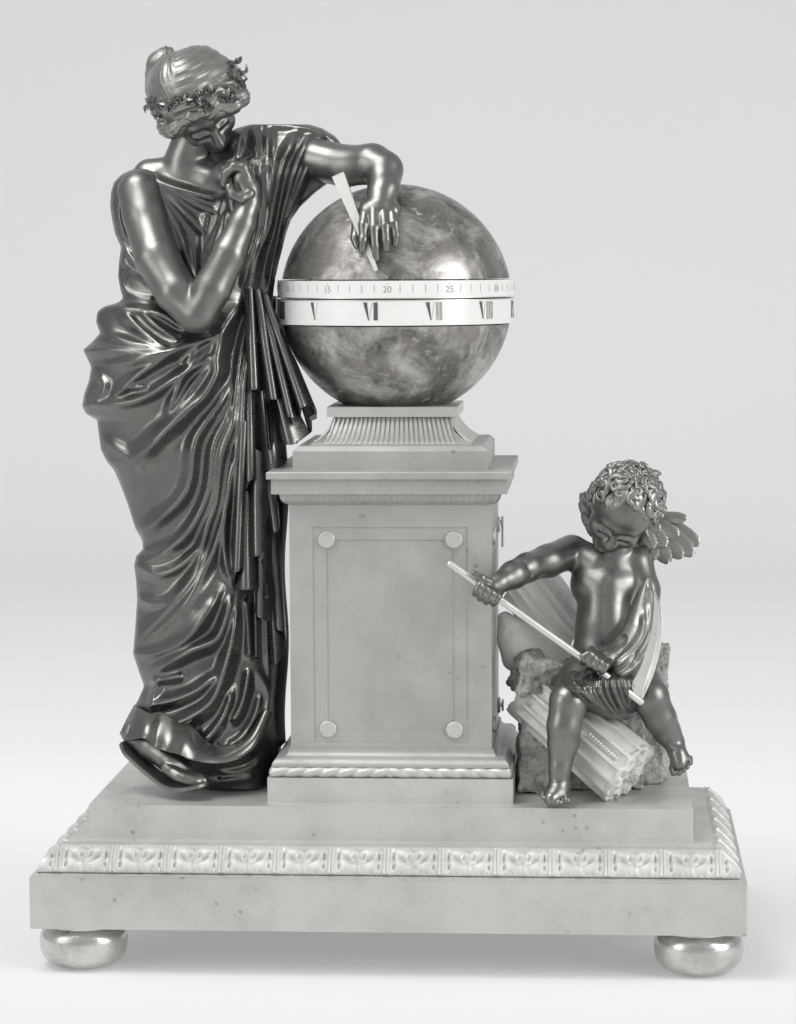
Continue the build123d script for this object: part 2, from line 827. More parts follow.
# Attic block, hollow below, with sloping shoulders
attic_steps = [
    (0, cornice_top, 0),
    (0, attic_top - attic_shoulder, 0),
    (attic_shoulder, attic_top, 0),
]
attic_holes = upright_rods(stand_stud_places, stud_hole_radius, cornice_top, attic_top + cut_overrun)
attic_pipe_hole = upright_rods(axis_place, pipe_hole_radius, cornice_top, attic_top + cut_overrun)
with BuildPart() as attic_block:
    add(moulded_block(attic_width / 2, attic_width / 2, attic_steps))
    add(slab_between(attic_width - 2 * case_wall, attic_width - 2 * case_wall,
                     cornice_top - cut_overrun, attic_top - case_wall), mode=Mode.SUBTRACT)
    add(attic_holes, mode=Mode.SUBTRACT)
    add(attic_pipe_hole, mode=Mode.SUBTRACT)
keep(attic_block, "attic_block")

# Globe stand: a hollowed-out square foot under a slab, with four studs down through the cornice
waist_inset = (stand_foot_width - stand_waist_width) / 2
slab_inset = (stand_foot_width - stand_top_width) / 2
scotia_top = attic_top + stand_scotia_height
stand_steps = [
    (0, attic_top, 0),
    (0, attic_top + step_foot_height, 0),
    (waist_inset, scotia_top, stand_scotia_sag),
    (slab_inset, scotia_top, 0),
    (slab_inset, stand_top, 0),
]
stand_studs = upright_rods(stand_stud_places, stud_radius, cap_bottom - nut_reach, attic_top)
stand_pipe_hole = upright_rods(axis_place, pipe_hole_radius, attic_top - cut_overrun, stand_top + cut_overrun)
stand_screw_bottom = stand_top - stand_slab_height / 2
stand_screw_holes = upright_rods(bridge_screw_places, screw_hole_radius,
                                 stand_screw_bottom - seat_gap, stand_top + cut_overrun)
with BuildPart() as globe_stand:
    add(moulded_block(stand_foot_width / 2, stand_foot_width / 2, stand_steps))
    add(stand_studs)
    add(stand_pipe_hole, mode=Mode.SUBTRACT)
    add(stand_screw_holes, mode=Mode.SUBTRACT)
keep(globe_stand, "globe_stand")

# Globe shells: spherical caps cut level, the lower one with a foot flange
globe_inner_radius = globe_radius - globe_wall
globe_middle_radius = globe_radius - globe_wall / 2


def globe_width(radius, level):
    """The radius at which a sphere round the globe's centre passes a level."""
    return sqrt(radius ** 2 - (level - globe_centre_height) ** 2)


def shell_between(bottom, top):
    """A slice of the hollow globe between two levels."""
    with BuildPart() as shell:
        with Locations((0, 0, globe_centre_height)):
            Sphere(globe_radius)
            Sphere(globe_inner_radius, mode=Mode.SUBTRACT)
        with BuildSketch(Plane.XY.offset(bottom)):
            Circle(2 * globe_radius)
        extrude(amount=top - bottom, mode=Mode.INTERSECT)
    return shell.part


flange_top = stand_top + globe_wall
flange_outer = globe_width(globe_middle_radius, stand_top)
flange_inner = flange_outer - shell_flange_width
lower_shell_top = hour_ring_bottom - ring_gap
flange_holes = upright_rods(bridge_screw_places, screw_hole_radius,
                            stand_top - cut_overrun, flange_top + cut_overrun)
lower_slice = shell_between(stand_top, lower_shell_top)
with BuildPart() as globe_lower_shell:
    add(lower_slice)
    with BuildSketch(Plane.XY.offset(stand_top)):
        Circle(flange_outer)
        Circle(flange_inner, mode=Mode.SUBTRACT)
    extrude(amount=globe_wall)
    add(flange_holes, mode=Mode.SUBTRACT)
keep(globe_lower_shell, "globe_lower_shell")

tray_bottom = upper_shell_bottom + slide_gap
tray_top = tray_bottom + tray_thickness
tray_radius = globe_width(globe_inner_radius, tray_top) - seat_gap
ledge_inner = tray_screw_circle - 2 * screw_head_radius
ledge_outer = globe_width(globe_middle_radius, tray_top + globe_wall)
ledge_holes = upright_rods(tray_screw_places, screw_hole_radius,
                           tray_top - cut_overrun, tray_top + globe_wall + cut_overrun)
upper_slice = shell_between(upper_shell_bottom, globe_centre_height + 2 * globe_radius)
index_start = globe_width(globe_middle_radius, upper_shell_bottom)
index_seat = Rotation(0, 0, index_angle) * Plane(
    origin=(0, -index_start, upper_shell_bottom), x_dir=(1, 0, 0), z_dir=(0, -1, 0))
with BuildPart() as globe_upper_shell:
    add(upper_slice)
    with BuildSketch(Plane.XY.offset(tray_top)):
        Circle(ledge_outer)
        Circle(ledge_inner, mode=Mode.SUBTRACT)
    extrude(amount=globe_wall)
    with BuildSketch(index_seat):
        Polygon((-index_width / 2, index_height), (0, 0), (index_width / 2, index_height), align=None)
    extrude(amount=globe_wall / 2 + index_relief)
    add(ledge_holes, mode=Mode.SUBTRACT)
keep(globe_upper_shell, "globe_upper_shell")

# Dial rings
ring_inner_radius = ring_radius - ring_thickness
with BuildPart() as hour_ring:
    add(upright_tube(ring_radius, ring_inner_radius, hour_ring_bottom, hour_ring_top))
keep(hour_ring, "hour_ring")

with BuildPart() as minute_ring:
    add(upright_tube(ring_radius, ring_inner_radius, minute_ring_bottom, minute_ring_top))
keep(minute_ring, "minute_ring")


def ring_carrier(middle):
    """A spider with a rim that fits inside a dial ring."""
    rim = ring_inner_radius - running_gap
    with BuildPart() as spider:
        with BuildSketch(Plane.XY.offset(middle - carrier_thickness / 2)):
            Circle(rim)
            Circle(rim - carrier_rim_width, mode=Mode.SUBTRACT)
            Circle(carrier_hub_radius)
            Rectangle(2 * rim - carrier_rim_width, spoke_width)
            Rectangle(spoke_width, 2 * rim - carrier_rim_width)
        extrude(amount=carrier_thickness)
    return spider.part


# Drive inside the globe: the motion bridge and the gears on it
bridge_base_top = flange_top + carrier_thickness
bridge_plate_top = bridge_base_top + bridge_height
bridge_plate_bottom = bridge_plate_top - bridge_plate_thickness
bridge_arm_reach = motion_distance + 3 * pillar_radius
motion_bottom = bridge_plate_top + seat_gap
motion_wheel_bottom = motion_bottom + plate_thickness
motion_pinion_bottom = motion_wheel_bottom + wheel_thickness
hour_wheel_bottom = motion_pinion_bottom + motion_pinion_length
motion_top = hour_wheel_bottom + wheel_thickness + slide_gap
cannon_bottom = motion_wheel_bottom - slide_gap
cannon_top = hour_wheel_bottom - seat_gap
motion_module = 2 * motion_distance / (cannon_teeth + motion_wheel_teeth)
hour_module = 2 * motion_distance / (motion_pinion_teeth + hour_wheel_teeth)
bridge_holes = upright_rods(bridge_screw_places, screw_hole_radius,
                            flange_top - cut_overrun, bridge_base_top + cut_overrun)
with BuildPart() as motion_bridge:
    with BuildSketch(Plane.XY.offset(flange_top)):
        Circle(flange_outer - 2 * globe_wall)
        Circle(flange_inner - 2 * globe_wall, mode=Mode.SUBTRACT)
    extrude(amount=carrier_thickness)
    with BuildSketch(Plane.XY.offset(bridge_base_top)):
        with Locations((-bridge_arm_reach, 0), (bridge_arm_reach, 0)):
            Circle(pillar_radius)
    extrude(amount=bridge_plate_bottom - bridge_base_top)
    with BuildSketch(Plane.XY.offset(bridge_plate_bottom)):
        SlotCenterToCenter(2 * bridge_arm_reach, 3 * pillar_radius)
        Circle(carrier_hub_radius)
        Circle(minute_pipe_radius + running_gap, mode=Mode.SUBTRACT)
    extrude(amount=bridge_plate_thickness)
    with BuildSketch(Plane.XY.offset(bridge_plate_top)):
        with Locations((motion_distance, 0)):
            Circle(arbor_radius)
    extrude(amount=motion_top + slide_gap - bridge_plate_top)
    add(bridge_holes, mode=Mode.SUBTRACT)
keep(motion_bridge, "motion_bridge")

motion_turn = 180 + 180 / motion_wheel_teeth
motion_pinion_turn = 180 + 180 / motion_pinion_teeth
with BuildPart() as motion_wheel:
    add(crossed_wheel(Plane(origin=(motion_distance, 0, motion_wheel_bottom)), motion_wheel_teeth,
                      motion_module, wheel_thickness, motion_turn))
    add(toothed_disc(Plane(origin=(motion_distance, 0, motion_pinion_bottom)), motion_pinion_teeth,
                     hour_module, pinion_shares, motion_top - motion_pinion_bottom, motion_pinion_turn))
    with BuildSketch(Plane(origin=(motion_distance, 0, motion_bottom))):
        Circle(wheel_hub_radius)
    extrude(amount=motion_wheel_bottom - motion_bottom)
    with BuildSketch(Plane(origin=(motion_distance, 0, motion_bottom - cut_overrun))):
        Circle(arbor_radius + running_gap)
    extrude(amount=motion_top - motion_bottom + 2 * cut_overrun, mode=Mode.SUBTRACT)
keep(motion_wheel, "motion_wheel")

hour_carrier_middle = (hour_ring_bottom + hour_ring_top) / 2
hour_carrier_top = hour_carrier_middle + carrier_thickness / 2
with BuildPart() as hour_carrier:
    add(ring_carrier(hour_carrier_middle))
    add(upright_tube(hour_pipe_radius, minute_pipe_radius + running_gap, hour_wheel_bottom, hour_carrier_top))
    add(crossed_wheel(Plane.XY.offset(hour_wheel_bottom), hour_wheel_teeth, hour_module,
                      wheel_thickness, 0))
    with BuildSketch(Plane.XY.offset(hour_wheel_bottom - cut_overrun)):
        Circle(minute_pipe_radius + running_gap)
    extrude(amount=hour_carrier_top - hour_wheel_bottom + 2 * cut_overrun, mode=Mode.SUBTRACT)
keep(hour_carrier, "hour_carrier")

minute_carrier_middle = (minute_ring_bottom + minute_ring_top) / 2
minute_carrier_top = minute_carrier_middle + carrier_thickness / 2
minute_pipe_bottom = movement_height + mitre_radius - mitre_face
with BuildPart() as minute_carrier:
    add(ring_carrier(minute_carrier_middle))
    add(mitre_gear(Plane.XY.offset(movement_height), 90))
    add(upright_tube(minute_pipe_radius, post_radius + running_gap, minute_pipe_bottom, minute_carrier_top))
    add(toothed_disc(Plane.XY.offset(cannon_bottom), cannon_teeth, motion_module, pinion_shares,
                     cannon_top - cannon_bottom, 0))
    with BuildSketch(Plane.XY.offset(minute_pipe_bottom - cut_overrun)):
        Circle(post_radius + running_gap)
    extrude(amount=minute_carrier_top - minute_pipe_bottom + 2 * cut_overrun, mode=Mode.SUBTRACT)
keep(minute_carrier, "minute_carrier")

# Centre post: stands on the front plate's shelf and carries the upper shell on a tray
shelf_top = movement_height - shelf_drop
shelf_bottom = shelf_top - shelf_thickness
tray_holes = PolarLocations(tray_hole_circle, 6).locations
tray_screw_cutters = upright_rods(tray_screw_places, screw_hole_radius,
                                  tray_bottom - cut_overrun, tray_top + cut_overrun)
with BuildPart() as globe_post:
    add(upright_rods(axis_place, post_radius, shelf_bottom, tray_top))
    add(upright_rods(axis_place, post_collar_radius, shelf_top, shelf_top + post_collar_height))
    add(upright_rods(axis_place, carrier_hub_radius, minute_carrier_top + slide_gap, tray_bottom))
    with BuildSketch(Plane.XY.offset(tray_bottom)):
        Circle(tray_radius)
        with Locations(*tray_holes):
            Circle(tray_hole_radius, mode=Mode.SUBTRACT)
    extrude(amount=tray_thickness)
    add(tray_screw_cutters, mode=Mode.SUBTRACT)
keep(globe_post, "globe_post")

# Train centres, measured across and up from the clock's axis
barrel_distance = (barrel_teeth + centre_pinion_teeth) * barrel_module / 2
barrel_x = barrel_distance * cos(radians(barrel_angle))
barrel_z = movement_height + barrel_distance * sin(radians(barrel_angle))
third_distance = (centre_wheel_teeth + third_pinion_teeth) * centre_module / 2
third_x = third_distance * cos(radians(third_angle))
third_z = movement_height + third_distance * sin(radians(third_angle))
escape_distance = (third_wheel_teeth + escape_pinion_teeth) * third_module / 2
escape_z = third_z + sqrt(escape_distance ** 2 - third_x ** 2)
escape_angle = degrees(atan2(escape_z - third_z, -third_x))
anchor_z = escape_z + escape_radius / cos(radians(pallet_angle))
pillar_places = [(side * pillar_x, movement_height + rise)
                 for side in (-1, 1) for rise in (pillar_top_rise, -pillar_bottom_drop)]
click_x = barrel_x + click_pivot_x
click_z = barrel_z + click_pivot_z
ratchet_y = back_plate_y + slide_gap + seat_gap
ratchet_back_y = ratchet_y + ratchet_thickness
crutch_hub_radius = 1.2 * crutch_width
cock_arm_bottom = anchor_z + crutch_hub_radius + slide_gap
cock_screw_x = cock_width / 2 - screw_head_radius
cock_screw_z = cock_arm_bottom + cock_foot_height / 2
cock_back_y = back_plate_y + cock_thickness
cock_wall_back_y = cock_wall_y + cock_thickness


def train_holes(front, back, spots):
    """Running holes for arbors through a plate. A spot is x, z and the arbor's radius."""
    with BuildPart() as cutters:
        for x, z, radius in spots:
            add(arbor(x, z, radius + running_gap, front - cut_overrun, back + cut_overrun))
    return cutters.part


front_spots = [(0, movement_height, arbor_radius), (barrel_x, barrel_z, arbor_radius),
               (third_x, third_z, pivot_radius), (0, escape_z, pivot_radius), (0, anchor_z, pivot_radius)]
front_spots += [(x, z, arbor_radius) for x, z in pillar_places]
front_spots += [(side * rail_screw_x, level, screw_radius) for side in (-1, 1) for level in rail_screw_levels]
post_hole = upright_rods(axis_place, post_radius + running_gap, shelf_bottom - cut_overrun,
                         shelf_top + cut_overrun)
with BuildPart() as front_plate:
    add(box_between((slide_gap - side_inner_x, front_plate_y, rail_bottom),
                    (side_inner_x - slide_gap, train_front_y, rail_top)))
    add(box_between((-shelf_width / 2, front_plate_y - shelf_reach, shelf_bottom),
                    (shelf_width / 2, front_plate_y, shelf_top)))
    add(train_holes(front_plate_y, train_front_y, front_spots), mode=Mode.SUBTRACT)
    add(post_hole, mode=Mode.SUBTRACT)
keep(front_plate, "front_plate")

back_spots = [(0, movement_height, pivot_radius), (barrel_x, barrel_z, barrel_arbor_radius),
              (third_x, third_z, pivot_radius), (0, escape_z, pivot_radius), (0, anchor_z, arbor_radius),
              (click_x, click_z, arbor_radius)]
back_spots += [(x, z, screw_radius) for x, z in pillar_places]
back_spots += [(side * cock_screw_x, cock_screw_z, screw_radius) for side in (-1, 1)]
with BuildPart() as back_plate:
    add(box_between((-back_plate_width / 2, train_back_y, movement_height - back_plate_height / 2),
                    (back_plate_width / 2, back_plate_y, movement_height + back_plate_height / 2)))
    add(train_holes(train_back_y, back_plate_y, back_spots), mode=Mode.SUBTRACT)
keep(back_plate, "back_plate")

with BuildPart() as movement_pillars:
    for x, z in pillar_places:
        add(arbor(x, z, pillar_radius, train_front_y, train_back_y))
        add(arbor(x, z, arbor_radius, front_plate_y, train_front_y))
        add(arbor(x, z, screw_hole_radius, train_back_y - pillar_screw_depth - seat_gap,
                  train_back_y + cut_overrun), mode=Mode.SUBTRACT)
keep(movement_pillars, "movement_pillars")

# Going barrel: a toothed drum, hollow for the mainspring, that turns on the winding arbor
barrel_front_y = train_front_y + barrel_gear_setback
drum_front_y = barrel_front_y + barrel_gear_thickness
drum_back_y = drum_front_y + barrel_drum_length
barrel_turn = barrel_angle + 180 + 180 / barrel_teeth
with BuildPart() as going_barrel:
    add(toothed_disc(train_plane(barrel_x, barrel_z, drum_front_y), barrel_teeth, barrel_module,
                     wheel_shares, barrel_gear_thickness, barrel_turn))
    add(arbor(barrel_x, barrel_z, barrel_drum_radius, drum_front_y, drum_back_y))
    add(arbor(barrel_x, barrel_z, barrel_drum_radius - barrel_wall,
              drum_front_y, drum_back_y - barrel_wall), mode=Mode.SUBTRACT)
    add(arbor(barrel_x, barrel_z, barrel_arbor_radius + running_gap,
              barrel_front_y - cut_overrun, drum_back_y + cut_overrun), mode=Mode.SUBTRACT)
keep(going_barrel, "going_barrel")

with BuildPart() as winding_arbor:
    add(arbor(barrel_x, barrel_z, arbor_radius, front_plate_y, train_front_y + slide_gap))
    add(arbor(barrel_x, barrel_z, barrel_arbor_radius, train_front_y + slide_gap, ratchet_back_y))
    with BuildSketch(train_plane(barrel_x, barrel_z, ratchet_back_y)):
        Polygon(*saw_corners(ratchet_teeth, ratchet_radius, ratchet_depth), align=None)
    extrude(amount=ratchet_thickness)
    with BuildSketch(train_plane(barrel_x, barrel_z, ratchet_back_y + winding_reach)):
        Rectangle(winding_square, winding_square)
    extrude(amount=winding_reach)
keep(winding_arbor, "winding_arbor")

# Click: an arm on a stud, its nose just clear of the ratchet
click_nose_reach = ratchet_radius + seat_gap + click_nose_radius
click_nose_x = barrel_x + click_nose_reach * cos(radians(click_nose_angle))
click_nose_z = barrel_z + click_nose_reach * sin(radians(click_nose_angle))
with BuildPart() as click:
    with BuildSketch(train_plane(0, 0, ratchet_back_y)):
        with Locations((click_x, click_z)):
            Circle(click_width)
        Polygon((click_x - click_width / 2, click_z + click_width / 2),
                (click_x, click_z - 0.6 * click_width),
                (click_nose_x - click_nose_radius, click_nose_z - click_nose_radius / 2),
                (click_nose_x + click_nose_radius, click_nose_z + click_nose_radius), align=None)
    extrude(amount=ratchet_thickness)
    add(arbor(click_x, click_z, arbor_radius, train_back_y, ratchet_y))
keep(click, "click")

# Centre arbor: pinion, first train wheel and the lying mitre gear
centre_wheel_y = train_front_y + centre_wheel_setback
centre_pinion_y = barrel_front_y - slide_gap
third_wheel_y = train_front_y + third_wheel_setback
escape_wheel_y = train_front_y + escape_wheel_setback
mitre_back_y = front_plate_y - seat_gap
arbor_end_y = train_back_y - seat_gap
mitre_plane = Plane(origin=(0, 0, movement_height), x_dir=(-1, 0, 0), z_dir=(0, 1, 0))
with BuildPart() as centre_arbor:
    add(mitre_gear(mitre_plane, 90 + 180 / mitre_teeth))
    add(arbor(0, movement_height, 2 * arbor_radius, mitre_radius, mitre_back_y))
    add(arbor(0, movement_height, arbor_radius, mitre_back_y, arbor_end_y))
    add(arbor(0, movement_height, pivot_radius, arbor_end_y, back_plate_y))
    add(toothed_disc(train_plane(0, movement_height, centre_pinion_y + pinion_length),
                     centre_pinion_teeth, barrel_module, pinion_shares, pinion_length, barrel_angle))
    add(crossed_wheel(train_plane(0, movement_height, centre_wheel_y + wheel_thickness),
                      centre_wheel_teeth, centre_module, wheel_thickness, third_angle))
keep(centre_arbor, "centre_arbor")


def pivoted_arbor(x, z):
    """A thin train arbor with a pivot at each end."""
    with BuildPart() as bar:
        add(arbor(x, z, thin_arbor_radius, train_front_y + seat_gap, arbor_end_y))
        add(arbor(x, z, pivot_radius, front_plate_y, train_front_y + seat_gap))
        add(arbor(x, z, pivot_radius, arbor_end_y, back_plate_y))
    return bar.part


pinion_overhang = (pinion_length - wheel_thickness) / 2
third_pinion_back_y = centre_wheel_y + wheel_thickness + pinion_overhang
with BuildPart() as third_arbor:
    add(pivoted_arbor(third_x, third_z))
    add(toothed_disc(train_plane(third_x, third_z, third_pinion_back_y), third_pinion_teeth,
                     centre_module, pinion_shares, pinion_length, third_angle + 180 + 180 / third_pinion_teeth))
    add(crossed_wheel(train_plane(third_x, third_z, third_wheel_y + wheel_thickness),
                      third_wheel_teeth, third_module, wheel_thickness, escape_angle))
keep(third_arbor, "third_arbor")

escape_pinion_back_y = third_wheel_y + wheel_thickness + pinion_overhang
escape_root_radius = escape_radius - escape_tooth_depth
escape_spoke_length = 2 * escape_root_radius - wheel_rim_width / 2
with BuildPart() as escape_arbor:
    add(pivoted_arbor(0, escape_z))
    add(toothed_disc(train_plane(0, escape_z, escape_pinion_back_y), escape_pinion_teeth,
                     third_module, pinion_shares, pinion_length,
                     escape_angle + 180 + 180 / escape_pinion_teeth))
    with BuildSketch(train_plane(0, escape_z, escape_wheel_y + wheel_thickness)):
        Polygon(*saw_corners(escape_teeth, escape_radius, escape_tooth_depth), align=None)
        Circle(escape_root_radius - wheel_rim_width / 2, mode=Mode.SUBTRACT)
        Circle(wheel_hub_radius / 1.5)
        Rectangle(escape_spoke_length, wheel_spoke_width / 1.5)
        Rectangle(wheel_spoke_width / 1.5, escape_spoke_length)
    extrude(amount=wheel_thickness)
keep(escape_arbor, "escape_arbor")

# Anchor: arbor, two arms down to the pallets, and the crutch behind the back plate
crutch_front_y = back_plate_y + seat_gap
crutch_back_y = crutch_front_y + crutch_thickness
pendulum_back_y = pendulum_y + pendulum_strip_thickness / 2
pallet_across = sin(radians(pallet_angle))
pallet_along = cos(radians(pallet_angle))
pallet_tip = escape_radius + pallet_gap
shoulder_x = (pallet_tip + pallet_depth) * pallet_across
shoulder_z = (pallet_tip + pallet_depth) * pallet_along - (anchor_z - escape_z)
pallet_x = (pallet_tip + pallet_depth / 2) * pallet_across
pallet_z = (pallet_tip + pallet_depth / 2) * pallet_along - (anchor_z - escape_z)
arm_length = sqrt(shoulder_x ** 2 + shoulder_z ** 2)
arm_lean = degrees(atan2(shoulder_z, shoulder_x))
with BuildPart() as anchor:
    add(arbor(0, anchor_z, thin_arbor_radius, train_front_y + seat_gap, arbor_end_y))
    add(arbor(0, anchor_z, pivot_radius, front_plate_y, train_front_y + seat_gap))
    add(arbor(0, anchor_z, arbor_radius, arbor_end_y, crutch_back_y))
    add(arbor(0, anchor_z, pivot_radius, crutch_back_y, cock_wall_back_y - seat_gap))
    with BuildSketch(train_plane(0, anchor_z, escape_wheel_y + wheel_thickness)):
        Circle(anchor_arm_width)
        for side in (-1, 1):
            with Locations(Location((side * shoulder_x / 2, shoulder_z / 2, 0), (0, 0, side * arm_lean))):
                Rectangle(arm_length, anchor_arm_width)
            with Locations(Location((side * pallet_x, pallet_z, 0), (0, 0, -side * pallet_angle))):
                Rectangle(pallet_width, pallet_depth)
    extrude(amount=wheel_thickness)
    with BuildSketch(train_plane(0, anchor_z, crutch_back_y)):
        Circle(crutch_hub_radius)
        with Locations((0, -crutch_length / 2)):
            SlotCenterToCenter(crutch_length, crutch_width, rotation=90)
    extrude(amount=crutch_thickness)
    add(arbor(0, anchor_z - crutch_length, crutch_pin_radius, crutch_back_y, pendulum_back_y + slide_gap))
keep(anchor, "anchor")

with BuildPart() as pendulum_rod:
    with BuildSketch(train_plane(0, anchor_z, pendulum_back_y)):
        Circle(pendulum_eye_radius)
        with Locations((0, -(pendulum_length + pendulum_tail) / 2)):
            Rectangle(pendulum_strip_width, pendulum_length + pendulum_tail)
        Circle(cock_pin_radius + running_gap, mode=Mode.SUBTRACT)
        with Locations((0, -crutch_length)):
            Circle(crutch_pin_radius + running_gap, mode=Mode.SUBTRACT)
    extrude(amount=pendulum_strip_thickness)
keep(pendulum_rod, "pendulum_rod")

half_bob = bob_thickness / 2
half_edge = bob_edge_thickness / 2
with BuildPart() as lens_bob:
    with BuildSketch(Plane.XY):
        with BuildLine():
            Polyline((0, -half_bob), (0, half_bob), (bob_radius, half_edge), (bob_radius, -half_edge),
                     (0, -half_bob))
        make_face()
    revolve(axis=Axis.Y)
with BuildPart() as pendulum_bob:
    with Locations((0, pendulum_y, anchor_z - pendulum_length)):
        add(lens_bob.part)
    add(pendulum_rod.part, mode=Mode.SUBTRACT)
keep(pendulum_bob, "pendulum_bob")

# Pendulum cock: carries the anchor's rear pivot and the pin that the pendulum hangs on
with BuildPart() as pendulum_cock:
    add(box_between((-cock_width / 2, back_plate_y, cock_arm_bottom),
                    (cock_width / 2, cock_back_y, cock_arm_bottom + cock_foot_height)))
    add(box_between((-cock_arm_width / 2, back_plate_y, cock_arm_bottom),
                    (cock_arm_width / 2, cock_wall_back_y, cock_arm_bottom + cock_thickness)))
    add(box_between((-cock_arm_width / 2, cock_wall_y, anchor_z - cock_arm_width / 2),
                    (cock_arm_width / 2, cock_wall_back_y, cock_arm_bottom)))
    add(arbor(0, anchor_z, cock_pin_radius, cock_wall_back_y, pendulum_back_y + 2 * slide_gap))
    add(arbor(0, anchor_z, pivot_radius + running_gap, cock_wall_y - cut_overrun, cock_wall_back_y),
        mode=Mode.SUBTRACT)
    for side in (-1, 1):
        add(arbor(side * cock_screw_x, cock_screw_z, screw_hole_radius, back_plate_y - cut_overrun,
                  cock_back_y + cut_overrun), mode=Mode.SUBTRACT)
keep(pendulum_cock, "pendulum_cock")

# Fasteners
with BuildPart() as tie_rods:
    add(upright_rods(rod_places, stud_radius, plinth_top - plinth_wall - nut_reach, cornice_top + nut_reach))
keep(tie_rods, "tie_rods")

nut_rows = [
    (rod_places, plinth_top - plinth_wall - nut_height),
    (rod_places, cornice_top),
    (foot_places, bottom_plate_top),
    (woman_stud_places + stone_stud_places, step_top - plinth_wall - nut_height),
    (stand_stud_places, cap_bottom - nut_height),
]
with BuildPart() as fixing_nuts:
    for places, bottom in nut_rows:
        with BuildSketch(Plane.XY.offset(bottom)):
            with Locations(*places):
                RegularPolygon(nut_flats / 2, 6, major_radius=False)
                Circle(stud_hole_radius, mode=Mode.SUBTRACT)
        extrude(amount=nut_height)
keep(fixing_nuts, "fixing_nuts")

with BuildPart() as case_screws:
    for side in (-1, 1):
        for level in rail_screw_levels:
            add(arbor(side * rail_screw_x, level, screw_head_radius,
                      front_plate_y - screw_head_height, front_plate_y))
            add(arbor(side * rail_screw_x, level, screw_radius, front_plate_y, rail_back_y))
        add(arbor(side * cock_screw_x, cock_screw_z, screw_head_radius, cock_back_y,
                  cock_back_y + screw_head_height))
        add(arbor(side * cock_screw_x, cock_screw_z, screw_radius, train_back_y, cock_back_y))
    for x, z in pillar_places:
        add(arbor(x, z, screw_head_radius, back_plate_y, back_plate_y + screw_head_height))
        add(arbor(x, z, screw_radius, train_back_y - pillar_screw_depth, back_plate_y))
    add(upright_rods(bridge_screw_places, screw_radius, stand_screw_bottom, bridge_base_top))
    add(upright_rods(bridge_screw_places, screw_head_radius, bridge_base_top,
                     bridge_base_top + screw_head_height))
    add(upright_rods(tray_screw_places, screw_radius, tray_bottom, tray_top + globe_wall))
    add(upright_rods(tray_screw_places, screw_head_radius, tray_bottom - screw_head_height, tray_bottom))
keep(case_screws, "case_screws")

# Standing woman: rows are x, y, z, half width and half depth, or x, y, z and radius,
# all in shares of her height from the place where she stands
dress_shares = [
    (0.006, 0.000, 0.000, 0.081, 0.071), (-0.003, 0.000, 0.031, 0.099, 0.083),
    (-0.005, 0.000, 0.060, 0.107, 0.089), (0.004, 0.000, 0.099, 0.102, 0.087),
    (0.014, 0.000, 0.149, 0.094, 0.083), (0.009, 0.000, 0.227, 0.099, 0.083),
    (0.009, 0.000, 0.300, 0.096, 0.083), (0.006, 0.000, 0.360, 0.095, 0.085),
    (0.000, 0.000, 0.410, 0.102, 0.089), (-0.015, 0.000, 0.464, 0.117, 0.093),
    (-0.021, 0.000, 0.525, 0.131, 0.094), (-0.024, 0.000, 0.601, 0.130, 0.091),
    (-0.017, 0.000, 0.651, 0.115, 0.083), (-0.009, 0.000, 0.682, 0.097, 0.071),
    (-0.004, 0.000, 0.710, 0.091, 0.065), (0.004, 0.000, 0.769, 0.091, 0.067),
    (0.010, 0.000, 0.818, 0.100, 0.065), (0.026, 0.000, 0.857, 0.100, 0.055),
    (0.039, 0.000, 0.887, 0.086, 0.042),
]
mantle_shares = [
    (0.102, -0.004, 0.176, 0.018, 0.028), (0.102, -0.004, 0.198, 0.022, 0.036),
    (0.089, -0.004, 0.277, 0.018, 0.040), (0.096, -0.004, 0.355, 0.020, 0.043),
    (0.091, -0.004, 0.444, 0.015, 0.047), (0.114, -0.004, 0.478, 0.029, 0.052),
    (0.126, -0.004, 0.525, 0.037, 0.053), (0.108, -0.004, 0.572, 0.028, 0.055),
    (0.090, -0.004, 0.641, 0.018, 0.053), (0.092, -0.004, 0.710, 0.016, 0.045),
    (0.110, -0.004, 0.769, 0.027, 0.043), (0.118, -0.004, 0.818, 0.039, 0.043),
    (0.122, -0.004, 0.867, 0.059, 0.047), (0.114, -0.004, 0.910, 0.051, 0.038),
]
neck_shares = [(-0.020, 0.000, 0.857, 0.031), (-0.006, -0.006, 0.916, 0.031)]
skull_shares = [(0.006, -0.016, 0.950, 0.065), (0.035, -0.031, 0.907, 0.043), (-0.045, 0.014, 0.988, 0.032)]
right_arm_shares = [
    (-0.071, -0.035, 0.843, 0.025), (-0.059, -0.059, 0.779, 0.026), (-0.020, -0.087, 0.694, 0.025),
    (0.020, -0.094, 0.647, 0.023), (0.055, -0.094, 0.729, 0.021), (0.087, -0.083, 0.798, 0.015),
    (0.087, -0.075, 0.820, 0.014), (0.063, -0.071, 0.857, 0.012),
]
left_arm_shares = [
    (0.102, -0.012, 0.887, 0.028), (0.177, -0.004, 0.879, 0.025), (0.260, 0.000, 0.865, 0.022),
    (0.280, -0.004, 0.859, 0.021), (0.276, -0.045, 0.843, 0.019), (0.266, -0.085, 0.808, 0.014),
    (0.266, -0.114, 0.769, 0.012), (0.266, -0.134, 0.733, 0.009),
]
sandal_shares = [(-0.020, -0.035, 0.017, 0.018), (0.008, -0.098, 0.010, 0.014)]
stylus_shares = [(0.2087, -0.0945, 0.8376), (0.2618, -0.1398, 0.7116)]

